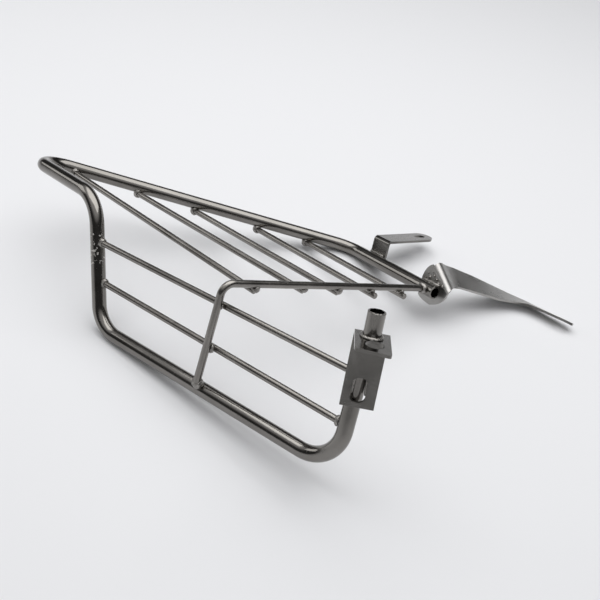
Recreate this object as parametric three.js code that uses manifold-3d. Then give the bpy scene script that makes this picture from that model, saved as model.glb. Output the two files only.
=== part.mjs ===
// A welded side luggage rack for a motorcycle, lying on the floor on its three lowest spots.
// One bent tube makes the outline: a right post, a bottom rail, a left post, a tail hairpin, a
// back rail and an end rail. A bent rod closes the carrying deck, bars fill both panels, and
// three bent brackets bolt the rack to the vehicle. Every joint is a weld.
//
// The rack is laid out in its own axes: X along the bottom rail, Y across the deck away from
// the side panel, Z up the side panel. A parent group then lays it on the floor.

import * as THREE from 'three';
import { mergeVertices } from 'three/addons/utils/BufferGeometryUtils.js';
import Module from 'manifold-3d';

const wasm = await Module();
wasm.setup();

// Driving dimensions, in millimetres and degrees.
const TUBE_RADIUS = 8;
const TUBE_WALL = 1.5;
const TUBE_BEND = 40;
const LEFT_FOOT_BEND = 35;
const TAIL_BEND = 26;
const ROD_RADIUS = 4;
const ROD_BEND = 12;
const BAR_RADIUS = 3.5;
const PLATE = 3;
const GAP = 0.3;

const PANEL_LENGTH = 331;
const PANEL_HEIGHT = 139.5;
const POST_LEAN = 41;
const RIGHT_POST_TOP = 136;
const RIGHT_POST_LEAN = 4;
const TAIL_REACH = 209;
const TAIL_DEPTH = 33;
const DECK_DEPTH = 310;
const DECK_FALL = 0.095;
const FAR_CORNER_X = 106;
const END_RAIL_X = 261;
const END_RAIL_DEPTH = 262;

const ROD_FOOT_X = 158;
const ROD_TOP_X = 163.5;
const ROD_FRONT = 9;
const ROD_TOP_HEIGHT = 121;
const ROD_END_SETBACK = 12;

const SECTION_ANGLE = 15;
const TUBE_SIDES = 16;
const ROD_SIDES = 12;
const BAR_SIDES = 12;

const UP = new THREE.Vector3(0, 0, 1);

function vec(x, y, z) {
  return new THREE.Vector3(x, y, z);
}

// The deck falls evenly from the side panel to the far corner.
function onDeck(x, y) {
  return vec(x, y, PANEL_HEIGHT - DECK_FALL * y);
}

const corner = {
  rightTop: vec(PANEL_LENGTH - RIGHT_POST_LEAN, 0, RIGHT_POST_TOP),
  rightFoot: vec(PANEL_LENGTH, 0, 0),
  leftFoot: vec(0, 0, 0),
  leftTop: onDeck(-POST_LEAN, 0),
  tail: onDeck(-TAIL_REACH, TAIL_DEPTH),
  far: onDeck(FAR_CORNER_X, DECK_DEPTH),
  endRail: onDeck(END_RAIL_X, END_RAIL_DEPTH),
};

// Materials: dark plated steel, a little lighter on the plates and on the weld metal.
const platedTube = { color: 0x4a4743, roughness: 0.2, metalness: 0.95 };
const platedRod = { color: 0x57534e, roughness: 0.24, metalness: 0.95 };
const platedPlate = { color: 0x8c8984, roughness: 0.38, metalness: 0.85 };
const platedWeld = { color: 0x605b55, roughness: 0.5, metalness: 0.8 };

function named(name, geometry, look) {
  const mesh = new THREE.Mesh(geometry, new THREE.MeshStandardMaterial(look));
  mesh.name = name;
  return mesh;
}

// Closed geometry to solid and back, for cuts and joins.
function solid(geometry) {
  const bare = geometry.clone();
  bare.deleteAttribute('normal');
  bare.deleteAttribute('uv');
  const merged = mergeVertices(bare, 1e-4);
  return new wasm.Manifold(new wasm.Mesh({
    numProp: 3,
    vertProperties: Float32Array.from(merged.attributes.position.array),
    triVerts: Uint32Array.from(merged.index.array),
  }));
}

function surface(body) {
  const mesh = body.getMesh();
  const geometry = new THREE.BufferGeometry();
  geometry.setAttribute('position', new THREE.BufferAttribute(mesh.vertProperties, 3));
  geometry.setIndex(new THREE.BufferAttribute(mesh.triVerts, 1));
  geometry.computeVertexNormals();
  return geometry;
}

// A cut can leave loose slivers beside the piece, and only the piece itself is kept.
function mainPart(body) {
  return body.decompose().sort((a, b) => b.volume() - a.volume())[0];
}

// A path of straight runs and round bends, with a section only where the tube turns.
// It takes one bend radius for each corner between its ends.
class BentPath extends THREE.Curve {
  constructor(corners, bendRadii) {
    super();
    this.points = [corners[0].clone()];
    this.tangents = [corners[1].clone().sub(corners[0]).normalize()];
    for (let i = 1; i < corners.length - 1; i += 1) {
      this.bend(corners[i - 1], corners[i], corners[i + 1], bendRadii[i - 1]);
    }
    this.points.push(corners.at(-1).clone());
    this.tangents.push(corners.at(-1).clone().sub(corners.at(-2)).normalize());
    this.steps = this.points.length - 1;
  }

  bend(before, at, after, radius) {
    const inward = at.clone().sub(before).normalize();
    const outward = after.clone().sub(at).normalize();
    const turn = inward.angleTo(outward);
    const axis = inward.clone().cross(outward).normalize();
    const toCentre = axis.clone().cross(inward);
    const start = at.clone().addScaledVector(inward, -radius * Math.tan(turn / 2));
    const centre = start.clone().addScaledVector(toCentre, radius);
    const pieces = Math.ceil(THREE.MathUtils.radToDeg(turn) / SECTION_ANGLE);
    for (let k = 0; k <= pieces; k += 1) {
      const angle = (turn * k) / pieces;
      const spoke = toCentre.clone().multiplyScalar(-radius).applyAxisAngle(axis, angle);
      this.points.push(centre.clone().add(spoke));
      this.tangents.push(inward.clone().applyAxisAngle(axis, angle));
    }
  }

  getPoint(t, target = new THREE.Vector3()) {
    return target.copy(this.points[Math.round(t * this.steps)]);
  }

  getPointAt(u, target) {
    return this.getPoint(u, target);
  }

  getTangentAt(u, target = new THREE.Vector3()) {
    return target.copy(this.tangents[Math.round(u * this.steps)]);
  }
}

function roundSection(radius, bore = 0) {
  const section = new THREE.Shape().absarc(0, 0, radius, 0, 2 * Math.PI);
  if (bore > 0) {
    section.holes.push(new THREE.Path().absarc(0, 0, bore, 0, 2 * Math.PI));
  }
  return section;
}

function bentBar(section, path, sides) {
  return new THREE.ExtrudeGeometry(section, {
    steps: path.steps, curveSegments: sides / 2, extrudePath: path,
  });
}

// A straight round bar as a mesh laid between two points.
function straightBar(name, from, to, radius, sides, look) {
  const along = to.clone().sub(from);
  const mesh = named(name, new THREE.CylinderGeometry(radius, radius, along.length(), sides), look);
  mesh.position.copy(from).addScaledVector(along, 0.5);
  mesh.quaternion.setFromUnitVectors(vec(0, 1, 0), along.clone().normalize());
  return mesh;
}

// Cuts a mesh, where it stands in its group, with solids given in the rack's axes.
function cutInPlace(mesh, cutters) {
  mesh.updateWorldMatrix(true, false);
  const toMesh = mesh.matrixWorld.clone().invert();
  let body = solid(mesh.geometry);
  for (const cutter of cutters) {
    body = body.subtract(solid(cutter.clone().applyMatrix4(toMesh)));
  }
  mesh.geometry = surface(mainPart(body));
  return mesh;
}

// Main tube.
const tubePath = new BentPath([
  corner.rightTop, corner.rightFoot, corner.leftFoot, corner.leftTop,
  corner.tail, corner.far, corner.endRail,
], [TUBE_BEND, LEFT_FOOT_BEND, TUBE_BEND, TAIL_BEND, TUBE_BEND]);
const tubeEnvelope = bentBar(roundSection(TUBE_RADIUS + GAP), tubePath, TUBE_SIDES);

function mainTube() {
  const section = roundSection(TUBE_RADIUS, TUBE_RADIUS - TUBE_WALL);
  return named('main_tube', bentBar(section, tubePath, TUBE_SIDES), platedTube);
}

// End rail axes: X along the end rail to its open end, Y away from the deck, Z up.
const endRailDirection = corner.endRail.clone().sub(corner.far).normalize();
const endRailLength = corner.endRail.distanceTo(corner.far);
const endRailOutward = UP.clone().cross(endRailDirection).normalize();
const endRailUp = endRailDirection.clone().cross(endRailOutward);
const endRailTurn = new THREE.Matrix4().makeBasis(
  endRailDirection, endRailOutward, endRailUp);

function endRailGroup(distance) {
  const group = new THREE.Group();
  group.position.copy(corner.far).addScaledVector(endRailDirection, distance);
  group.quaternion.setFromRotationMatrix(endRailTurn);
  return group;
}

// Inner rod: it stands on the front of the bottom rail, bends over at deck height and runs to
// the near side of the end rail, a little before the open end.
const rodFoot = vec(ROD_FOOT_X, -ROD_FRONT, 8.5);
const rodTop = vec(ROD_TOP_X, -ROD_FRONT, ROD_TOP_HEIGHT);
const rodEnd = corner.endRail.clone()
  .addScaledVector(endRailDirection, -ROD_END_SETBACK)
  .addScaledVector(endRailOutward, -5)
  .addScaledVector(endRailUp, 1);
const rodPath = new BentPath([rodFoot, rodTop, rodEnd], [ROD_BEND]);
const rodEnvelope = bentBar(roundSection(ROD_RADIUS + GAP), rodPath, ROD_SIDES);

function innerRod() {
  const rod = named('inner_rod', bentBar(roundSection(ROD_RADIUS), rodPath, ROD_SIDES), platedRod);
  return cutInPlace(rod, [tubeEnvelope]);
}

// Deck bars lie against the inside of the back rail and pass under the inner rod.
// Each has its place along the back rail and along the rod, how far its near end sits below
// and inside the rail's centre line, and how far its tip runs past the rod.
const deckBars = [
  { rail: 60, below: 3.3, inside: 7.9, rod: 39, past: 0 },
  { rail: 138.5, below: 7.7, inside: 3.8, rod: 104, past: -3 },
  { rail: 212, below: 9.6, inside: 2, rod: 149, past: 0 },
  { rail: 295, below: 10.4, inside: 2, rod: 197, past: 9 },
  { rail: 361, below: 9.3, inside: 1.4, rod: 243, past: 9 },
];
const backRailDirection = corner.far.clone().sub(corner.tail).normalize();
const backRailInward = backRailDirection.clone().cross(UP).normalize();
const rodDirection = rodEnd.clone().sub(rodTop).normalize();
const UNDER_ROD = ROD_RADIUS + BAR_RADIUS + GAP;

function deckBarEnds(bar) {
  const start = corner.tail.clone()
    .addScaledVector(backRailDirection, bar.rail)
    .addScaledVector(backRailInward, bar.inside)
    .addScaledVector(UP, -bar.below);
  const crossing = rodTop.clone()
    .addScaledVector(rodDirection, bar.rod)
    .addScaledVector(UP, -UNDER_ROD);
  const tip = crossing.clone()
    .addScaledVector(crossing.clone().sub(start).normalize(), bar.past);
  return { start, crossing, tip };
}

function deckBar(index) {
  const { start, tip } = deckBarEnds(deckBars[index]);
  const name = `deck_bar_${index + 1}`;
  const bar = straightBar(name, start, tip, BAR_RADIUS, BAR_SIDES, platedRod);
  return cutInPlace(bar, [tubeEnvelope, rodEnvelope]);
}

// Side bars run from post to post, just behind the inner rod.
const sideBars = [
  { name: 'upper', leftHeight: 94, rightHeight: 99.3, leftFront: 0.5, rightFront: 3 },
  { name: 'lower', leftHeight: 51, rightHeight: 47, leftFront: -1, rightFront: 0 },
];

function leftPostX(height) {
  return (-POST_LEAN * height) / PANEL_HEIGHT;
}

function rightPostX(height) {
  return PANEL_LENGTH - (RIGHT_POST_LEAN * height) / RIGHT_POST_TOP;
}

function sideBarEnds(bar) {
  return {
    left: vec(leftPostX(bar.leftHeight), -bar.leftFront, bar.leftHeight),
    right: vec(rightPostX(bar.rightHeight), -bar.rightFront, bar.rightHeight),
  };
}

function sideBar(bar) {
  const { left, right } = sideBarEnds(bar);
  const inset = right.clone().sub(left).normalize().multiplyScalar(TUBE_RADIUS - 1);
  const name = `side_bar_${bar.name}`;
  const from = left.clone().add(inset);
  const to = right.clone().sub(inset);
  const mesh = straightBar(name, from, to, BAR_RADIUS, BAR_SIDES, platedRod);
  return cutInPlace(mesh, [tubeEnvelope, rodEnvelope]);
}

// Weld metal: a lump around each joint, hollowed by the pieces that it joins.
// It stands out from the bar that it holds by a set amount.
const RAIL_WELD_SIZE = BAR_RADIUS + 2.2;
const TIP_WELD_SIZE = BAR_RADIUS + 1.7;
const POST_WELD_SIZE = BAR_RADIUS + 2;
const ROD_WELD_SIZE = ROD_RADIUS + 2.6;

function weld(name, at, neighbours, size, flatten = 0.85) {
  const bead = named(name, new THREE.SphereGeometry(size, 10, 7), platedWeld);
  bead.geometry.scale(1, 1, flatten);
  bead.geometry.rotateX(Math.PI / 2);
  bead.position.copy(at);
  return cutInPlace(bead, neighbours);
}

function grown(mesh) {
  mesh.updateMatrix();
  return mesh.geometry.clone().applyMatrix4(mesh.matrix);
}

function barEnvelope(from, to) {
  const longer = to.clone().sub(from).normalize().multiplyScalar(GAP);
  return grown(straightBar('cutter', from.clone().sub(longer), to.clone().add(longer),
    BAR_RADIUS + GAP, BAR_SIDES, platedWeld));
}

function deckBarWelds(index) {
  const { start, crossing, tip } = deckBarEnds(deckBars[index]);
  const bar = barEnvelope(start, tip);
  const direction = tip.clone().sub(start).normalize();
  const atRail = start.clone().addScaledVector(direction, 2);
  const atRod = crossing.clone().addScaledVector(UP, BAR_RADIUS)
    .addScaledVector(direction, Math.min(deckBars[index].past, 0));
  return [
    weld(`weld_deck_bar_${index + 1}_rail`, atRail, [bar, tubeEnvelope, rodEnvelope],
      RAIL_WELD_SIZE),
    weld(`weld_deck_bar_${index + 1}_rod`, atRod, [bar, tubeEnvelope, rodEnvelope],
      TIP_WELD_SIZE),
  ];
}

function sideBarWelds(bar) {
  const { left, right } = sideBarEnds(bar);
  const direction = right.clone().sub(left).normalize();
  const envelope = barEnvelope(left, right);
  const cutters = [envelope, tubeEnvelope, rodEnvelope];
  const middle = left.clone().lerp(right, (ROD_FOOT_X - left.x) / (right.x - left.x));
  return [
    weld(`weld_side_bar_${bar.name}_left`,
      left.clone().addScaledVector(direction, TUBE_RADIUS + 0.5), cutters, POST_WELD_SIZE),
    weld(`weld_side_bar_${bar.name}_rod`,
      middle.clone().add(vec(3, -4, 0)), cutters, POST_WELD_SIZE),
    weld(`weld_side_bar_${bar.name}_right`,
      right.clone().addScaledVector(direction, -TUBE_RADIUS - 0.5), cutters, POST_WELD_SIZE),
  ];
}

// Slot bracket: a plate across the front of the right post, with a flange turned towards the
// rider. Its groups have X across the plate, Y backwards and Z up, and lean it about its top.
const SLOT_BRACKET_TURN = 33;
const SLOT_BRACKET_TILT = -4;
const SLOT_BRACKET_BOTTOM = 72.5;
const SLOT_BRACKET_CREASE = 117;
const SLOT_BRACKET_TOP = 145;
const SLOT_BRACKET_SWEEP = 3;
const SLOT_BRACKET_X = -1;
const SLOT_BRACKET_WIDTH = 31;
const FLANGE_REACH = 56;
const FLANGE_SKEW = 3.5;
const SLOT_WIDTH = 14;
const SLOT_HEIGHT = 23;
const SLOT_CENTRE = 88.8;
const FLANGE_HOLE_RADIUS = 8.2;
const FLANGE_HOLE_Y = -42.5;
const SPACER_Y = -24.5;
const SPACER_X = -2;
const SPACER_BORE = 6.5;
const SPACER_TOP = 168;

function slotBracketGroups() {
  const leaning = new THREE.Group();
  leaning.position.set(rightPostX(SLOT_BRACKET_CREASE), 0, SLOT_BRACKET_TOP);
  leaning.rotation.order = 'ZYX';
  leaning.rotation.z = THREE.MathUtils.degToRad(SLOT_BRACKET_TURN);
  leaning.rotation.y = THREE.MathUtils.degToRad(SLOT_BRACKET_TILT);
  const upright = new THREE.Group();
  upright.position.z = -SLOT_BRACKET_TOP;
  leaning.add(upright);
  return { leaning, upright };
}

// The bent plate seen from its side, in Y and Z: it sweeps forward a little below a crease.
function slotBracketProfile() {
  const back = -TUBE_RADIUS - GAP;
  const front = back - PLATE;
  const inside = 2.5;
  const outside = inside + PLATE;
  const low = SLOT_BRACKET_TOP - PLATE;
  const bend = Math.PI / 2;
  const profile = new THREE.Shape();
  profile.moveTo(front - SLOT_BRACKET_SWEEP, SLOT_BRACKET_BOTTOM);
  profile.lineTo(back - SLOT_BRACKET_SWEEP, SLOT_BRACKET_BOTTOM);
  profile.lineTo(back, SLOT_BRACKET_CREASE);
  profile.lineTo(back, SLOT_BRACKET_TOP - outside);
  profile.absarc(back - outside, SLOT_BRACKET_TOP - outside, outside, 0, bend, false);
  profile.lineTo(-FLANGE_REACH - 10, SLOT_BRACKET_TOP);
  profile.lineTo(-FLANGE_REACH - 10, low);
  profile.lineTo(front - inside, low);
  profile.absarc(front - inside, low - inside, inside, bend, 0, true);
  profile.lineTo(front, SLOT_BRACKET_CREASE);
  profile.closePath();
  return profile;
}

// The trimmed outline of the bent plate seen from above, its front edge slightly askew.
function slotBracketOutline() {
  const left = SLOT_BRACKET_X - SLOT_BRACKET_WIDTH / 2;
  const right = SLOT_BRACKET_X + SLOT_BRACKET_WIDTH / 2;
  const round = 2.5;
  const outline = new THREE.Shape();
  outline.moveTo(left, 0);
  outline.lineTo(left, round - FLANGE_REACH);
  outline.quadraticCurveTo(left, -FLANGE_REACH, left + round, -FLANGE_REACH);
  outline.lineTo(right - round, -FLANGE_REACH - FLANGE_SKEW);
  outline.quadraticCurveTo(right, -FLANGE_REACH - FLANGE_SKEW,
    right, round - FLANGE_REACH - FLANGE_SKEW);
  outline.lineTo(right, 0);
  outline.closePath();
  return outline;
}

function roundedSlot(width, height, radius) {
  const w = width / 2;
  const h = height / 2;
  const slot = new THREE.Shape();
  slot.absarc(w - radius, h - radius, radius, 0, Math.PI / 2, false);
  slot.absarc(radius - w, h - radius, radius, Math.PI / 2, Math.PI, false);
  slot.absarc(radius - w, radius - h, radius, Math.PI, 1.5 * Math.PI, false);
  slot.absarc(w - radius, radius - h, radius, 1.5 * Math.PI, 2 * Math.PI, false);
  slot.closePath();
  return slot;
}

function prism(shape, depth, curveSegments = 5) {
  return new THREE.ExtrudeGeometry(shape, { depth, bevelEnabled: false, curveSegments });
}

function slotBracket() {
  const bent = prism(slotBracketProfile(), 100);
  bent.applyMatrix4(new THREE.Matrix4().makeBasis(vec(0, 1, 0), UP, vec(1, 0, 0)));
  bent.translate(-50, 0, 0);
  const trim = prism(slotBracketOutline(), 2 * SLOT_BRACKET_TOP);
  const slot = prism(roundedSlot(SLOT_WIDTH, SLOT_HEIGHT, SLOT_WIDTH * 0.42), 30);
  slot.rotateX(Math.PI / 2);
  slot.translate(SLOT_BRACKET_X - 1, 10, SLOT_CENTRE);
  const hole = new THREE.CylinderGeometry(FLANGE_HOLE_RADIUS, FLANGE_HOLE_RADIUS, 20, 20);
  hole.rotateX(Math.PI / 2);
  hole.translate(SLOT_BRACKET_X + 1.5, FLANGE_HOLE_Y, SLOT_BRACKET_TOP);
  const body = solid(bent).intersect(solid(trim)).subtract(solid(slot)).subtract(solid(hole));
  return named('slot_bracket', surface(mainPart(body)), platedPlate);
}

// Spacer tube: a short open tube that stands on the flange.
function spacerTube() {
  const height = SPACER_TOP - SLOT_BRACKET_TOP - GAP;
  const tube = prism(roundSection(TUBE_RADIUS, SPACER_BORE), height, TUBE_SIDES / 2);
  const mesh = named('spacer_tube', tube, platedTube);
  mesh.position.set(SPACER_X, SPACER_Y, SLOT_BRACKET_TOP + GAP);
  return mesh;
}

function spacerWeld() {
  const radius = TUBE_RADIUS + GAP;
  const foot = SLOT_BRACKET_TOP + GAP;
  const profile = [
    new THREE.Vector2(radius, foot),
    new THREE.Vector2(radius + 2.4, foot),
    new THREE.Vector2(radius + 1.6, foot + 1.4),
    new THREE.Vector2(radius, foot + 2.2),
    new THREE.Vector2(radius, foot),
  ];
  const ring = new THREE.LatheGeometry(profile, TUBE_SIDES);
  ring.rotateX(Math.PI / 2);
  const mesh = named('weld_spacer_tube', ring, platedWeld);
  mesh.position.set(SPACER_X, SPACER_Y, 0);
  return mesh;
}

// Beads run down the notch between the back of the plate and the post.
function slotBracketWeld(side) {
  const bead = new THREE.CylinderGeometry(3, 3, 36, 8);
  bead.rotateX(Math.PI / 2);
  const behind = new THREE.BoxGeometry(40, 6, 60);
  behind.translate(0, -TUBE_RADIUS - 3, 100);
  bead.translate(side === 'left' ? -6.4 : 6.4, -TUBE_RADIUS + 0.8, 100);
  const body = solid(bead).subtract(solid(behind));
  return named(`weld_slot_bracket_${side}`, surface(mainPart(body)), platedWeld);
}

// Rear bracket: an upright leg against the far side of the end rail, and a long tab that
// turns away from the deck, with a rounded end and a bolt slot.
const REAR_BRACKET_START = 33;
const REAR_BRACKET_WIDTH = 27;
const REAR_LEG_LOW = -5;
const REAR_LEG_TOP = 28;
const REAR_TAB_LENGTH = 84;
const REAR_TAB_RISE = 4;
const REAR_SLOT_AT = 66;

function rearBracket() {
  const near = TUBE_RADIUS + GAP;
  const inside = 2;
  const outside = inside + PLATE;
  const rise = Math.tan(THREE.MathUtils.degToRad(REAR_TAB_RISE)) * REAR_TAB_LENGTH;
  const profile = new THREE.Shape();
  profile.moveTo(near, REAR_LEG_LOW);
  profile.lineTo(near + PLATE, REAR_LEG_LOW);
  profile.lineTo(near + PLATE, REAR_LEG_TOP - outside);
  profile.absarc(near + outside, REAR_LEG_TOP - outside, inside, Math.PI, Math.PI / 2, true);
  profile.lineTo(near + REAR_TAB_LENGTH, REAR_LEG_TOP + rise - PLATE);
  profile.lineTo(near + REAR_TAB_LENGTH, REAR_LEG_TOP + rise);
  profile.lineTo(near + outside, REAR_LEG_TOP);
  profile.absarc(near + outside, REAR_LEG_TOP - outside, outside, Math.PI / 2, Math.PI, false);
  profile.closePath();
  const bent = prism(profile, REAR_BRACKET_WIDTH);
  bent.applyMatrix4(new THREE.Matrix4().makeBasis(vec(0, 1, 0), UP, vec(1, 0, 0)));

  const middle = REAR_BRACKET_WIDTH / 2;
  const shoulder = near + REAR_TAB_LENGTH - middle;
  const outline = new THREE.Shape();
  outline.moveTo(0, 0);
  outline.lineTo(REAR_BRACKET_WIDTH, 0);
  outline.lineTo(REAR_BRACKET_WIDTH, shoulder);
  outline.absarc(middle, shoulder, middle, 0, Math.PI, false);
  outline.closePath();
  const trim = prism(outline, 80, 8);
  trim.translate(0, 0, -20);

  const slot = prism(roundedSlot(8, 16, 4), 40);
  slot.translate(middle, near + REAR_SLOT_AT, 10);
  const body = solid(bent).intersect(solid(trim)).subtract(solid(slot));
  return named('rear_bracket', surface(mainPart(body)), platedPlate);
}

// A bead along the notch between the end rail and a leg, over the rail or under it.
function endRailWeld(name, start, length, level) {
  const bead = new THREE.CylinderGeometry(3, 3, length, 8);
  bead.rotateZ(Math.PI / 2);
  bead.translate(start + length / 2, TUBE_RADIUS - 1, level * 6.6);
  const leg = new THREE.BoxGeometry(200, 6, 60);
  leg.translate(start, TUBE_RADIUS + 3, 0);
  return named(name, surface(mainPart(solid(bead).subtract(solid(leg)))), platedWeld);
}

// Long strap: its leg stands against the far side of the end rail by the open end, rolls over
// at a slanted bend line and runs out as a long twisted arm that narrows to a rounded tip.
// Stations down the arm: the edge towards the side panel, the direction across to the other
// edge, and the width there.
const STRAP_WIDTH = 32;
const strapStations = [
  { edge: vec(11, 9.8, 2), across: vec(-0.81, 0, 0.585), width: 39 },
  { edge: vec(12.4, 10.6, 5), across: vec(-0.81, 0, 0.585), width: 39 },
  { edge: vec(12, 13.2, 7.8), across: vec(-0.82, 0.03, 0.57), width: 38.5 },
  { edge: vec(9, 18, 8.8), across: vec(-0.84, 0.1, 0.53), width: 37 },
  { edge: vec(5, 26, 8.4), across: vec(-0.85, 0.2, 0.47), width: 34.5 },
  { edge: vec(4.5, 37, 7.4), across: vec(-0.85, 0.28, 0.44), width: 33 },
  { edge: vec(13.4, 64.6, 3.3), across: vec(-0.88, 0.31, 0.37), width: STRAP_WIDTH },
  { edge: vec(23.4, 92.7, -0.8), across: vec(-0.92, 0.32, 0.24), width: STRAP_WIDTH },
  { edge: vec(31, 112, -1.2), across: vec(-0.86, 0.5, 0.04), width: 30 },
  { edge: vec(43, 124, 0), across: vec(-0.6, 0.78, -0.14), width: 22 },
  { edge: vec(60, 131.5, -0.8), across: vec(-0.4, 0.88, -0.24), width: 17 },
  { edge: vec(78, 137.5, -1.8), across: vec(-0.32, 0.91, -0.265), width: 16 },
  { edge: vec(89, 143, -3), across: vec(-0.32, 0.91, -0.265), width: 12.5 },
  { edge: vec(94, 148, -4.6), across: vec(-0.32, 0.91, -0.265), width: 6 },
];

// Bends a flat strip of box sections so that each section lies on its station.
function stripThrough(stations, thickness) {
  const last = stations.length - 1;
  const strip = new THREE.BoxGeometry(1, 1, 1, last, 1, 1);
  const position = strip.attributes.position;
  const middles = stations.map((s) => s.edge.clone().addScaledVector(s.across, s.width / 2));
  for (let i = 0; i < position.count; i += 1) {
    const k = Math.round((position.getX(i) + 0.5) * last);
    const station = stations[k];
    const run = middles[Math.min(k + 1, last)].clone().sub(middles[Math.max(k - 1, 0)]);
    const across = station.across.clone().normalize();
    const facing = run.cross(across).normalize();
    const point = middles[k].clone()
      .addScaledVector(across, position.getY(i) * station.width)
      .addScaledVector(facing, position.getZ(i) * thickness);
    position.setXYZ(i, point.x, point.y, point.z);
  }
  return strip;
}

function strapLeg() {
  const outline = new THREE.Shape();
  outline.moveTo(-10, -19.5);
  outline.quadraticCurveTo(-26, -19, -32, -14);
  outline.lineTo(-33, 9);
  outline.quadraticCurveTo(-31, 22, -23, 27);
  outline.lineTo(11.5, 2.5);
  outline.quadraticCurveTo(10, -9, -2, -16);
  outline.closePath();
  const leg = prism(outline, PLATE, 4);
  leg.rotateX(Math.PI / 2);
  leg.translate(0, TUBE_RADIUS + GAP + PLATE, 0);
  return leg;
}

function longStrap() {
  const arm = stripThrough(strapStations, PLATE);
  const hole = new THREE.CylinderGeometry(2.6, 2.6, 30, 14);
  hole.rotateX(THREE.MathUtils.degToRad(74));
  hole.translate(81, 146.5, -4);
  const body = solid(arm).add(solid(strapLeg())).subtract(solid(hole));
  return named('long_strap', surface(mainPart(body)), platedPlate);
}

// The whole rack in its own axes.
const rack = new THREE.Group();
const tube = mainTube();
rack.add(tube, innerRod());
deckBars.forEach((bar, index) => rack.add(deckBar(index), ...deckBarWelds(index)));
sideBars.forEach((bar) => rack.add(sideBar(bar), ...sideBarWelds(bar)));
const rodCutters = [rodEnvelope, tubeEnvelope];
rack.add(weld('weld_inner_rod_foot', rodFoot.clone().add(vec(0, 1.5, 0)), rodCutters,
  ROD_WELD_SIZE));
rack.add(weld('weld_inner_rod_end',
  rodEnd.clone().addScaledVector(endRailOutward, -4.5), rodCutters, ROD_WELD_SIZE));

const slotBracketParts = slotBracketGroups();
const slotPlate = slotBracket();
const plateWelds = ['left', 'right'].map(slotBracketWeld);
slotBracketParts.upright.add(slotPlate, spacerTube(), spacerWeld(), ...plateWelds);
[slotPlate, ...plateWelds].forEach((mesh) => cutInPlace(mesh, [tubeEnvelope]));
rack.add(slotBracketParts.leaning);

const rearBracketParts = endRailGroup(REAR_BRACKET_START);
const rearWeld = endRailWeld('weld_rear_bracket', 2, REAR_BRACKET_WIDTH - 4, 1);
rearBracketParts.add(rearBracket(), rearWeld);
rack.add(rearBracketParts);

const strapParts = endRailGroup(endRailLength);
const strap = longStrap();
const strapWelds = [
  endRailWeld('weld_long_strap_top', -30, 28, 1),
  endRailWeld('weld_long_strap_bottom', -30, 26, -1),
];
strapParts.add(strap, ...strapWelds);
rack.add(strapParts);
[rearWeld, ...strapWelds].forEach((mesh) => cutInPlace(mesh, [tubeEnvelope, rodEnvelope]));

// The rack rests on the bend at the foot of the left post, on the far bend of the deck and on
// the outer edge of the strap. It is turned until these three are level.
const strapTip = corner.endRail.clone()
  .addScaledVector(endRailDirection, 50)
  .addScaledVector(endRailOutward, 140);
const feet = [
  { mesh: tube, near: corner.leftFoot },
  { mesh: tube, near: corner.far },
  { mesh: strap, near: strapTip },
];

function lowestPoint(foot, up, reach = 75) {
  const position = foot.mesh.geometry.attributes.position;
  let lowest = null;
  for (let i = 0; i < position.count; i += 1) {
    const point = new THREE.Vector3().fromBufferAttribute(position, i);
    point.applyMatrix4(foot.mesh.matrixWorld);
    const lower = lowest === null || point.dot(up) < lowest.dot(up);
    if (point.distanceTo(foot.near) < reach && lower) {
      lowest = point;
    }
  }
  return lowest;
}

function floorNormal() {
  rack.updateMatrixWorld(true);
  let up = vec(0.085, -0.365, 0.927);
  for (let pass = 0; pass < 8; pass += 1) {
    const [a, b, c] = feet.map((foot) => lowestPoint(foot, up));
    up = b.clone().sub(a).cross(c.clone().sub(a)).normalize();
    up.multiplyScalar(Math.sign(up.z));
  }
  return up;
}

// Level on the floor, bottom rail along X, box centred over the origin.
rack.quaternion.setFromUnitVectors(floorNormal(), UP);
const railHeading = vec(1, 0, 0).applyQuaternion(rack.quaternion);
rack.quaternion.premultiply(new THREE.Quaternion().setFromAxisAngle(
  UP, -Math.atan2(railHeading.y, railHeading.x)));
const luggageRack = new THREE.Group();
luggageRack.add(rack);
luggageRack.updateMatrixWorld(true);
const box = new THREE.Box3().setFromObject(luggageRack, true);
rack.position.set(-(box.min.x + box.max.x) / 2, -(box.min.y + box.max.y) / 2, -box.min.z);

export default luggageRack;
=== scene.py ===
from math import radians, tan

import bmesh
import bpy
from mathutils import Matrix, Vector, noise


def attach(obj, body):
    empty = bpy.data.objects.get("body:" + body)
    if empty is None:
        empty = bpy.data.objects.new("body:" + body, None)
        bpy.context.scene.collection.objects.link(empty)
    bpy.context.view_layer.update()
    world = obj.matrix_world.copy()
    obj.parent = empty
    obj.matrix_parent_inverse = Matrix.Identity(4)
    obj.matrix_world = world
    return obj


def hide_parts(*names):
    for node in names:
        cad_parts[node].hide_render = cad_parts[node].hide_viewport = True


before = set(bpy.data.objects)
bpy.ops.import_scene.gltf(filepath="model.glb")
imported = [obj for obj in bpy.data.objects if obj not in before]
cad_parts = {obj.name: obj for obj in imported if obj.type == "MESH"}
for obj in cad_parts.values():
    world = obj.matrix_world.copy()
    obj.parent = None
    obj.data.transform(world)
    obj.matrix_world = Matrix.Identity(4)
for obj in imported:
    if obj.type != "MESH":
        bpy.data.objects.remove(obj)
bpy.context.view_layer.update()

MM = 0.001


# How the rack lies: it is made in its own axes, with X along the bottom rail, Y across the
# deck and Z up the side panel. It rolls back about the bottom rail and dips towards it.
ROLL_BACK = radians(-21.389)
DIP = radians(-5.6526)
LEFT_FOOT = Vector((-100.037, -201.178, 5.380)) * MM

rack_turn = Matrix.Rotation(DIP, 4, "Y") @ Matrix.Rotation(ROLL_BACK, 4, "X")
rack_place = Matrix.Translation(LEFT_FOOT) @ rack_turn


def in_rack(x, y, z):
    return rack_place @ Vector((x * MM, y * MM, z * MM))


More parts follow.
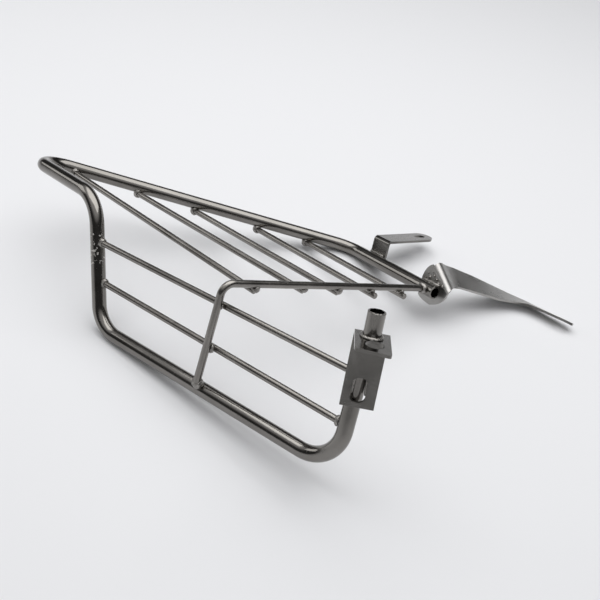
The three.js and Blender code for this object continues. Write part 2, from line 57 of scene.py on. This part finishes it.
# Dark plating: thin smoked chrome over steel, deep and glossy, with faint clouding, fine
# polishing haze and a few pinholes. The group gives those to each finish at its own scale.
def add_node(tree, kind, links=(), **settings):
    node = tree.nodes.new(kind)
    for key, value in settings.items():
        setattr(node, key, value)
    for socket, value in dict(links).items():
        if isinstance(value, bpy.types.NodeSocket):
            tree.links.new(value, node.inputs[socket])
        else:
            node.inputs[socket].default_value = value
    return node


def plating_flaws_group():
    tree = bpy.data.node_groups.new("Plating flaws", "ShaderNodeTree")
    face = tree.interface
    face.new_socket("Cloud size", in_out="INPUT", socket_type="NodeSocketFloat")
    face.new_socket("Grain size", in_out="INPUT", socket_type="NodeSocketFloat")
    for name in ("Cloud", "Grain", "Pits"):
        face.new_socket(name, in_out="OUTPUT", socket_type="NodeSocketFloat")
    given = tree.nodes.new("NodeGroupInput")
    made = tree.nodes.new("NodeGroupOutput")
    place = tree.nodes.new("ShaderNodeTexCoord")
    cloud = add_node(tree, "ShaderNodeTexNoise", {
        "Vector": place.outputs["Object"], "Scale": given.outputs["Cloud size"],
        "Detail": 6.0, "Roughness": 0.62, "Distortion": 0.4})
    grain = add_node(tree, "ShaderNodeTexNoise", {
        "Vector": place.outputs["Object"], "Scale": given.outputs["Grain size"],
        "Detail": 3.0, "Roughness": 0.7})
    cells = add_node(tree, "ShaderNodeTexVoronoi", {
        "Vector": place.outputs["Object"], "Scale": 210.0, "Randomness": 1.0})
    pits = add_node(tree, "ShaderNodeMapRange", {
        "Value": cells.outputs["Distance"], "From Min": 0.05, "From Max": 0.11,
        "To Min": 1.0, "To Max": 0.0})
    tree.links.new(cloud.outputs["Fac"], made.inputs["Cloud"])
    tree.links.new(grain.outputs["Fac"], made.inputs["Grain"])
    tree.links.new(pits.outputs["Result"], made.inputs["Pits"])
    return tree


plating_flaws = plating_flaws_group()


def dark_plating(name, deep, pale, gloss, haze, cloud_size, grain_size, bump, flecks=None):
    material = bpy.data.materials.new(name)
    material.use_nodes = True
    tree = material.node_tree
    shader = tree.nodes["Principled BSDF"]
    shader.inputs["Metallic"].default_value = 1.0
    flaws = add_node(tree, "ShaderNodeGroup", node_tree=plating_flaws)
    flaws.inputs["Cloud size"].default_value = cloud_size
    flaws.inputs["Grain size"].default_value = grain_size
    tone = add_node(tree, "ShaderNodeValToRGB", {"Fac": flaws.outputs["Cloud"]})
    tone.color_ramp.elements[0].position = 0.3
    tone.color_ramp.elements[0].color = (*deep, 1.0)
    tone.color_ramp.elements[1].position = 0.72
    tone.color_ramp.elements[1].color = (*pale, 1.0)
    worn = add_node(tree, "ShaderNodeMapRange", {
        "Value": flaws.outputs["Cloud"], "From Min": 0.35, "From Max": 0.75,
        "To Min": gloss, "To Max": haze})
    rough = add_node(tree, "ShaderNodeMath", {
        0: flaws.outputs["Grain"], 1: 0.12, 2: worn.outputs["Result"]},
        operation="MULTIPLY_ADD")
    rough_less = add_node(tree, "ShaderNodeMath", {
        0: rough.outputs["Value"], 1: 0.06}, operation="SUBTRACT")
    rough_pits = add_node(tree, "ShaderNodeMath", {
        0: flaws.outputs["Pits"], 1: 0.25, 2: rough_less.outputs["Value"]},
        operation="MULTIPLY_ADD")
    colour = tone.outputs["Color"]
    roughness = rough_pits.outputs["Value"]
    height = add_node(tree, "ShaderNodeMath", {
        0: flaws.outputs["Pits"], 1: -0.6, 2: flaws.outputs["Grain"]},
        operation="MULTIPLY_ADD").outputs["Value"]
    if flecks is not None:
        colour, roughness = flecks(tree, colour, roughness)
    relief = add_node(tree, "ShaderNodeBump", {
        "Height": height, "Strength": bump, "Distance": 0.0003})
    tree.links.new(colour, shader.inputs["Base Color"])
    tree.links.new(roughness, shader.inputs["Roughness"])
    tree.links.new(relief.outputs["Normal"], shader.inputs["Normal"])
    return material


# Main tube: one length of 16 mm steel tube, cold bent into post, bottom rail, post, tail
# hairpin, back rail and end rail. Its ends are sawn square and left open.
TUBE_RADIUS = 8.0
TUBE_WALL = 1.5
TUBE_SIDES = 48
BEND_RADIUS = 40.0
LEFT_FOOT_BEND = 35.0
TAIL_BEND = 26.0
BEND_STEP = radians(3)
SAWN_ANGLE = radians(80)
SAWN_EASE = 0.35
LIP_GAP = 0.02
PANEL_LENGTH = 331.0
PANEL_HEIGHT = 139.5
POST_LEAN = 41.0
RIGHT_POST_TOP = 136.0
RIGHT_POST_LEAN = 4.0
DECK_FALL = 0.095
TAIL = (-209, 33)
FAR_CORNER = (106, 310)
END_RAIL_END = (261, 262)


def on_deck(x, y):
    return in_rack(x, y, PANEL_HEIGHT - DECK_FALL * y)


right_top = in_rack(PANEL_LENGTH - RIGHT_POST_LEAN, 0, RIGHT_POST_TOP)
right_foot = in_rack(PANEL_LENGTH, 0, 0)
left_foot = in_rack(0, 0, 0)
left_top = on_deck(-POST_LEAN, 0)
tail = on_deck(*TAIL)
far_corner = on_deck(*FAR_CORNER)
end_rail_end = on_deck(*END_RAIL_END)


def swept_wall(form, radius, corners, bends, sides):
    """Draws a ring of that radius along straight runs and round bends."""
    heading = (corners[1] - corners[0]).normalized()
    turn = heading.to_track_quat("Z", "Y").to_matrix().to_4x4()
    ring = bmesh.ops.create_circle(
        form, cap_ends=False, segments=sides, radius=radius * MM,
        matrix=Matrix.Translation(corners[0]) @ turn)["verts"]
    edges = list({e for v in ring for e in v.link_edges})
    first, at = edges, corners[0]
    for before, corner, after, bend in zip(corners, corners[1:], corners[2:], bends):
        inward = (corner - before).normalized()
        outward = (after - corner).normalized()
        angle = inward.angle(outward)
        start = corner - inward * bend * MM * tan(angle / 2)
        edges = pulled(form, edges, start - at)
        axis = inward.cross(outward).normalized()
        centre = start + axis.cross(inward) * bend * MM
        spun = bmesh.ops.spin(
            form, geom=edges, cent=centre, axis=axis, angle=angle,
            steps=max(2, round(angle / BEND_STEP)), use_merge=False)
        edges = [g for g in spun["geom_last"] if isinstance(g, bmesh.types.BMEdge)]
        at = centre + Matrix.Rotation(angle, 3, axis) @ (start - centre)
    last = pulled(form, edges, corners[-1] - at)
    return first, last


def pulled(form, edges, move):
    """Draws those edges out by a move, and gives back the open edges at the new end."""
    out = bmesh.ops.extrude_edge_only(form, edges=edges)["geom"]
    verts = [g for g in out if isinstance(g, bmesh.types.BMVert)]
    bmesh.ops.translate(form, vec=move, verts=verts)
    drawn = set(out)
    return [g for g in out if isinstance(g, bmesh.types.BMEdge)
            and all(v in drawn for v in g.verts) and g not in edges
            and len(g.link_faces) == 1]


def eased(form, edges, width, steps=2):
    bmesh.ops.bevel(
        form, geom=edges, offset=width * MM, offset_type="OFFSET", affect="EDGES",
        segments=steps, profile=0.5, material=-1, clamp_overlap=True)


SHARP = radians(55)


def piece(form, name, material, slot, *nodes, sharp=SHARP):
    bmesh.ops.recalc_face_normals(form, faces=form.faces)
    for face in form.faces:
        face.smooth = True
    for edge in form.edges:
        edge.smooth = edge.is_manifold and edge.calc_face_angle(0.0) < sharp
    mesh = bpy.data.meshes.new(name)
    form.to_mesh(mesh)
    form.free()
    mesh.materials.append(material)
    made = bpy.data.objects.new(name, mesh)
    bpy.context.scene.collection.objects.link(made)
    flats = made.modifiers.new("Flat faces stay flat", "WEIGHTED_NORMAL")
    flats.keep_sharp = True
    flats.weight = 100
    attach(made, "root")
    if nodes:
        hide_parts(*nodes)


# The plater's jig held the left post, and left a patch of pale touch marks on its side.
TOUCH_MARKS_AT = in_rack(-24, -3, 84)
TOUCH_MARKS_REACH = (0.016, 0.016, 0.03)


def touch_marks(tree, colour, roughness):
    place = tree.nodes.new("ShaderNodeTexCoord")
    near = add_node(tree, "ShaderNodeMapping", {
        "Vector": place.outputs["Object"], "Location": TOUCH_MARKS_AT,
        "Scale": TOUCH_MARKS_REACH}, vector_type="TEXTURE")
    ball = add_node(tree, "ShaderNodeTexGradient", {"Vector": near.outputs["Vector"]},
                    gradient_type="SPHERICAL")
    marks = add_node(tree, "ShaderNodeTexNoise", {
        "Vector": place.outputs["Object"], "Scale": 330.0, "Detail": 1.0})
    cut = add_node(tree, "ShaderNodeMapRange", {
        "Value": marks.outputs["Fac"], "From Min": 0.62, "From Max": 0.65})
    here = add_node(tree, "ShaderNodeMapRange", {
        "Value": ball.outputs["Fac"], "From Min": 0.08, "From Max": 0.2})
    amount = add_node(tree, "ShaderNodeMath", {
        0: cut.outputs["Result"], 1: here.outputs["Result"]}, operation="MULTIPLY")
    mixed = add_node(tree, "ShaderNodeMix", data_type="RGBA")
    tree.links.new(amount.outputs["Value"], mixed.inputs[0])
    tree.links.new(colour, mixed.inputs[6])
    mixed.inputs[7].default_value = (0.72, 0.7, 0.67, 1.0)
    dull = add_node(tree, "ShaderNodeMath", {
        0: amount.outputs["Value"], 1: 0.4, 2: roughness}, operation="MULTIPLY_ADD")
    return mixed.outputs[2], dull.outputs["Value"]


tube_plating = dark_plating(
    "Smoked plating on tube", (0.17, 0.162, 0.15), (0.26, 0.248, 0.232),
    gloss=0.11, haze=0.2, cloud_size=14.0, grain_size=900.0, bump=0.12, flecks=touch_marks)


def open_tube(name, corners, bends, *nodes):
    form = bmesh.new()
    outer_ends = swept_wall(form, TUBE_RADIUS, corners, bends, TUBE_SIDES)
    inner_ends = swept_wall(form, TUBE_RADIUS - TUBE_WALL, corners, bends, TUBE_SIDES)
    for rim, middle in zip(outer_ends, (corners[0], corners[-1])):
        lip = pulled(form, rim, Vector())
        lip_verts = list({v for e in lip for v in e.verts})
        bmesh.ops.scale(
            form, vec=Vector((1, 1, 1)) * (1 - TUBE_WALL / TUBE_RADIUS), verts=lip_verts,
            space=Matrix.Translation(-middle))
    bmesh.ops.remove_doubles(form, verts=form.verts, dist=LIP_GAP * MM)
    sawn_edges = [e for e in form.edges
                  if e.is_manifold and e.calc_face_angle(0.0) > SAWN_ANGLE]
    eased(form, sawn_edges, SAWN_EASE)
    piece(form, name, tube_plating, "tube", *nodes)


open_tube("bent_main_tube",
          [right_top, right_foot, left_foot, left_top, tail, far_corner, end_rail_end],
          [BEND_RADIUS, LEFT_FOOT_BEND, BEND_RADIUS, TAIL_BEND, BEND_RADIUS], "main_tube")


# Inner rod: 8 mm round bar that stands on the front of the bottom rail, turns over at deck
# height and runs across to the end rail. It carries the tips of the deck bars.
ROD_RADIUS = 4.0
ROD_BEND = 12.0
ROD_FRONT = 9
ROD_FOOT_X = 158
ROD_FOOT_Z = 8.5
ROD_TOP_X = 163.5
ROD_TOP_Z = 121
ROD_STOPS_SHORT = 12
ROD_STOPS_INSIDE = 5
BAR_SIDES = 32
BAR_END_EASE = 0.8
rod_plating = dark_plating(
    "Smoked plating on bar", (0.19, 0.18, 0.167), (0.29, 0.276, 0.258),
    gloss=0.2, haze=0.3, cloud_size=22.0, grain_size=1100.0, bump=0.14)

along_end_rail = (end_rail_end - far_corner).normalized()
deck_up = (rack_turn @ Vector((0, 0, 1))).normalized()
out_of_end_rail = deck_up.cross(along_end_rail).normalized()
end_rail_up = along_end_rail.cross(out_of_end_rail)
rod_foot = in_rack(ROD_FOOT_X, -ROD_FRONT, ROD_FOOT_Z)
rod_top = in_rack(ROD_TOP_X, -ROD_FRONT, ROD_TOP_Z)
rod_end = end_rail_end + (along_end_rail * -ROD_STOPS_SHORT
                          + out_of_end_rail * -ROD_STOPS_INSIDE + end_rail_up) * MM


def round_bar(name, radius, corners, bends, material, *nodes):
    form = bmesh.new()
    ends = swept_wall(form, radius, corners, bends, BAR_SIDES)
    for ring in ends:
        bmesh.ops.edgenet_fill(form, edges=ring)
    eased(form, [e for ring in ends for e in ring if e.is_valid], BAR_END_EASE, 3)
    piece(form, name, material, "rod", *nodes)


round_bar("bent_inner_rod", ROD_RADIUS, [rod_foot, rod_top, rod_end], [ROD_BEND],
          rod_plating, "inner_rod")


# Deck bars: five lengths of 7 mm bar, each butted under the back rail and run out under the
# inner rod. A bar starts at a place along the rail and crosses the rod at another.
BAR_RADIUS = 3.5
FIT = 0.3
DECK_BARS = [
    {"rail": 60, "below": 3.3, "inside": 7.9, "rod": 39, "past": 0},
    {"rail": 138.5, "below": 7.7, "inside": 3.8, "rod": 104, "past": -3},
    {"rail": 212, "below": 9.6, "inside": 2, "rod": 149, "past": 0},
    {"rail": 295, "below": 10.4, "inside": 2, "rod": 197, "past": 9},
    {"rail": 361, "below": 9.3, "inside": 1.4, "rod": 243, "past": 9},
]
along_back_rail = (far_corner - tail).normalized()
into_deck = along_back_rail.cross(deck_up).normalized()
along_rod = (rod_end - rod_top).normalized()

for number, bar in enumerate(DECK_BARS, 1):
    start = tail + (along_back_rail * bar["rail"] + into_deck * bar["inside"]
                    - deck_up * bar["below"]) * MM
    crossing = rod_top + (along_rod * bar["rod"]
                          - deck_up * (ROD_RADIUS + BAR_RADIUS + FIT)) * MM
    tip = crossing + (crossing - start).normalized() * bar["past"] * MM
    round_bar(f"round_deck_bar_{number}", BAR_RADIUS, [start, tip], [], rod_plating,
              f"deck_bar_{number}")


# Side bars: two lengths of the same bar, from post to post behind the inner rod. Their
# plain ends run into the posts, under the weld beads.
SIDE_BAR_INTO_POST = 2


def side_bar(name, left_height, right_height, left_front, right_front):
    left = in_rack(-POST_LEAN * left_height / PANEL_HEIGHT, -left_front, left_height)
    right = in_rack(PANEL_LENGTH - RIGHT_POST_LEAN * right_height / RIGHT_POST_TOP,
                    -right_front, right_height)
    inset = (right - left).normalized() * (TUBE_RADIUS - SIDE_BAR_INTO_POST) * MM
    round_bar(f"round_side_bar_{name}", BAR_RADIUS, [left + inset, right - inset], [],
              rod_plating, f"side_bar_{name}")


side_bar("upper", left_height=94, right_height=99.3, left_front=0.5, right_front=3)
side_bar("lower", left_height=51, right_height=47, left_front=-1, right_front=0)


# Brackets: 3 mm rolled plate, sheared, punched and folded cold, then plated with the rest.
# Punching leaves soft edges, and the sheared rims catch the light.
# Painted shade: the brackets get a darker copy of the same plating as the strap. It stands in
# for the shade on their fronts, which face the dim side of the room.
shaded_bracket_plating = dark_plating(
    "Smoked plating on bracket with painted shade", (0.15, 0.144, 0.135), (0.25, 0.241, 0.228),
    gloss=0.09, haze=0.18, cloud_size=40.0, grain_size=1500.0, bump=0.18)
# Painted light: the strap gets a paler copy of the same plating, standing in for the light on
# its upward-facing top. Its higher roughness is the satin.
lit_strap_plating = dark_plating(
    "Satin plating on strap with painted light", (0.33, 0.322, 0.31), (0.44, 0.43, 0.415),
    gloss=0.27, haze=0.38, cloud_size=26.0, grain_size=1700.0, bump=0.5)
RIM_ANGLE = radians(60)
RIM_EASE = 0.4
PLATE_SHARP = radians(80)
SAME_POINT = 0.001


def folded_plate(node, name, material):
    form = bmesh.new()
    form.from_mesh(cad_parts[node].data)
    bmesh.ops.remove_doubles(form, verts=form.verts, dist=SAME_POINT * MM)
    rims = [e for e in form.edges if e.is_manifold and e.calc_face_angle(0.0) > RIM_ANGLE]
    eased(form, rims, RIM_EASE)
    piece(form, name, material, "plate", node, sharp=PLATE_SHARP)


folded_plate("slot_bracket", "folded_slot_bracket", shaded_bracket_plating)
folded_plate("rear_bracket", "folded_rear_bracket", shaded_bracket_plating)
folded_plate("long_strap", "twisted_long_strap", lit_strap_plating)


# Spacer tube: a sawn length of the same tube that stands on the flange of the slot bracket,
# open at both ends. It keeps a bolt clear of the rack.
SLOT_BRACKET_TURN = radians(33)
SLOT_BRACKET_TILT = radians(-4)
SLOT_BRACKET_CREASE = 117.0
FLANGE_TOP = 145.0
SPACER_AT = Vector((-2.0, -24.5))
SPACER_TOP = 168.0
flange_place = (
    Matrix.Translation((PANEL_LENGTH - RIGHT_POST_LEAN * SLOT_BRACKET_CREASE / RIGHT_POST_TOP,
                        0, FLANGE_TOP))
    @ Matrix.Rotation(SLOT_BRACKET_TURN, 4, "Z") @ Matrix.Rotation(SLOT_BRACKET_TILT, 4, "Y"))


def on_flange(x, y, z):
    return in_rack(*(flange_place @ Vector((x, y, z - FLANGE_TOP))))


open_tube("sawn_spacer_tube",
          [on_flange(*SPACER_AT, FLANGE_TOP + FIT), on_flange(*SPACER_AT, SPACER_TOP)],
          [], "spacer_tube")


# Weld beads: short runs of filler wire at every joint, laid by hand in lumps and plated
# over. Each fills the notch between its neighbours and swells a little over them.
weld_plating = dark_plating(
    "Smoked plating on weld", (0.2, 0.19, 0.177), (0.38, 0.365, 0.345),
    gloss=0.2, haze=0.38, cloud_size=160.0, grain_size=1400.0, bump=0.9)
RIPPLE_SIZE = 2.2
RIPPLE_DEPTH = 0.45
SWELL = 0.3
LONG_EDGE = 1.2


def weld_bead(node):
    form = bmesh.new()
    form.from_mesh(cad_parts[node].data)
    bmesh.ops.remove_doubles(form, verts=form.verts, dist=SAME_POINT * MM)
    for _ in range(2):
        long_edges = [e for e in form.edges if e.calc_length() > LONG_EDGE * MM]
        if long_edges:
            bmesh.ops.subdivide_edges(form, edges=long_edges, cuts=1, use_grid_fill=True)
            bmesh.ops.triangulate(form, faces=[f for f in form.faces if len(f.verts) > 3])
    for _ in range(3):
        bmesh.ops.smooth_vert(form, verts=form.verts, factor=0.5,
                              use_axis_x=True, use_axis_y=True, use_axis_z=True)
    bmesh.ops.recalc_face_normals(form, faces=form.faces)
    form.normal_update()
    for vert in form.verts:
        ripple = noise.noise(vert.co / (RIPPLE_SIZE * MM))
        vert.co += vert.normal * (SWELL + RIPPLE_DEPTH * ripple) * MM
    piece(form, node.replace("weld", "bead"), weld_plating, "weld", node)


for node in sorted(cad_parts):
    if node.startswith("weld_"):
        weld_bead(node)


# Weld spatter: droplets that landed on the strap's leg and beside the welds, and were
# plated where they stuck. Each has its place along, out of and above the end rail's end,
# and its radius.
SPATTER = [
    (-9.5, 7.9, 12.5, 1.7), (-14.0, 8.0, 15.5, 1.3), (-20.5, 8.0, 12.0, 1.9),
    (-17.0, 8.0, 19.0, 1.0), (-24.5, 8.0, 16.0, 1.2), (-5.0, 7.6, 9.0, 1.6),
    (-12.0, -1.0, 8.2, 0.9), (2.0, 7.8, 8.5, 1.3), (-27.0, 8.0, 9.5, 1.4),
]
DROPLET_LUMP_SIZE = 1.4
DROPLET_LUMP_DEPTH = 0.35


def on_end_rail(x, y, z):
    return end_rail_end + (along_end_rail * x + out_of_end_rail * y + end_rail_up * z) * MM


def droplets(name, spots):
    form = bmesh.new()
    for x, y, z, radius in spots:
        bmesh.ops.create_icosphere(
            form, subdivisions=3, radius=radius * MM,
            matrix=Matrix.Translation(on_end_rail(x, y, z)))
    for vert in form.verts:
        lump = noise.noise(vert.co / (DROPLET_LUMP_SIZE * MM))
        vert.co += vert.normal * lump * DROPLET_LUMP_DEPTH * MM
    piece(form, name, weld_plating, "weld")


droplets("strap_weld_spatter", SPATTER)


# Studio: a plain pale floor, one broad soft light overhead and a weak one from the left.
# The room is pale at the horizon and overhead and dim between, so the plating has dark cores.
FLOOR_REACH = 12.0


def plain_floor():
    form = bmesh.new()
    bmesh.ops.create_grid(form, x_segments=1, y_segments=1, size=FLOOR_REACH)
    mesh = bpy.data.meshes.new("studio_floor")
    form.to_mesh(mesh)
    form.free()
    paint = bpy.data.materials.new("Pale floor")
    paint.use_nodes = True
    shader = paint.node_tree.nodes["Principled BSDF"]
    shader.inputs["Base Color"].default_value = (0.8, 0.805, 0.82, 1.0)
    shader.inputs["Roughness"].default_value = 0.65
    mesh.materials.append(paint)
    floor = bpy.data.objects.new("studio_floor", mesh)
    bpy.context.scene.collection.objects.link(floor)


def soft_light(name, place, aim, width, depth, power):
    lamp = bpy.data.lights.new(name, "AREA")
    lamp.shape = "RECTANGLE"
    lamp.size = width
    lamp.size_y = depth
    lamp.energy = power
    holder = bpy.data.objects.new(name, lamp)
    holder.location = place
    holder.rotation_euler = (Vector(aim) - Vector(place)).to_track_quat("-Z", "Y").to_euler()
    bpy.context.scene.collection.objects.link(holder)


def room_light():
    world = bpy.data.worlds.new("Studio room")
    world.use_nodes = True
    tree = world.node_tree
    place = tree.nodes.new("ShaderNodeTexCoord")
    split = add_node(tree, "ShaderNodeSeparateXYZ", {"Vector": place.outputs["Generated"]})
    walls = add_node(tree, "ShaderNodeValToRGB", {"Fac": split.outputs["Z"]})
    ramp = walls.color_ramp
    ramp.elements[0].position = 0.0
    ramp.elements[0].color = (0.78, 0.785, 0.8, 1.0)
    ramp.elements[1].position = 0.12
    ramp.elements[1].color = (0.05, 0.05, 0.05, 1.0)
    edge = ramp.elements.new(0.04)
    edge.color = (0.74, 0.745, 0.755, 1.0)
    wall = ramp.elements.new(0.5)
    wall.color = (0.07, 0.07, 0.07, 1.0)
    ceiling = ramp.elements.new(0.8)
    ceiling.color = (0.75, 0.75, 0.76, 1.0)
    tree.links.new(walls.outputs["Color"], tree.nodes["Background"].inputs["Color"])
    bpy.context.scene.world = world


plain_floor()
room_light()
soft_light("overhead_light", place=(-0.1, 0.35, 1.7), aim=(0.0, 0.0, 0.0),
           width=2.4, depth=1.8, power=26.0)
soft_light("left_light", place=(-1.7, -0.5, 0.9), aim=(0.0, 0.0, 0.1),
           width=0.9, depth=0.9, power=4.0)
bpy.context.scene.view_settings.view_transform = "Standard"


# Camera: above and in front of the right post, looking down across the deck.
CAMERA_PLACE = (0.47591, -0.63972, 0.65619)
CAMERA_TURN = (49.878, -5.09, 39.312)
FOCAL_LENGTH = 50.52
SENSOR_WIDTH = 36.0
camera_data = bpy.data.cameras.new("camera")
camera_data.lens = FOCAL_LENGTH
camera_data.sensor_width = SENSOR_WIDTH
camera = bpy.data.objects.new("camera", camera_data)
camera.location = CAMERA_PLACE
camera.rotation_euler = [radians(angle) for angle in CAMERA_TURN]
bpy.context.scene.collection.objects.link(camera)
bpy.context.scene.camera = camera
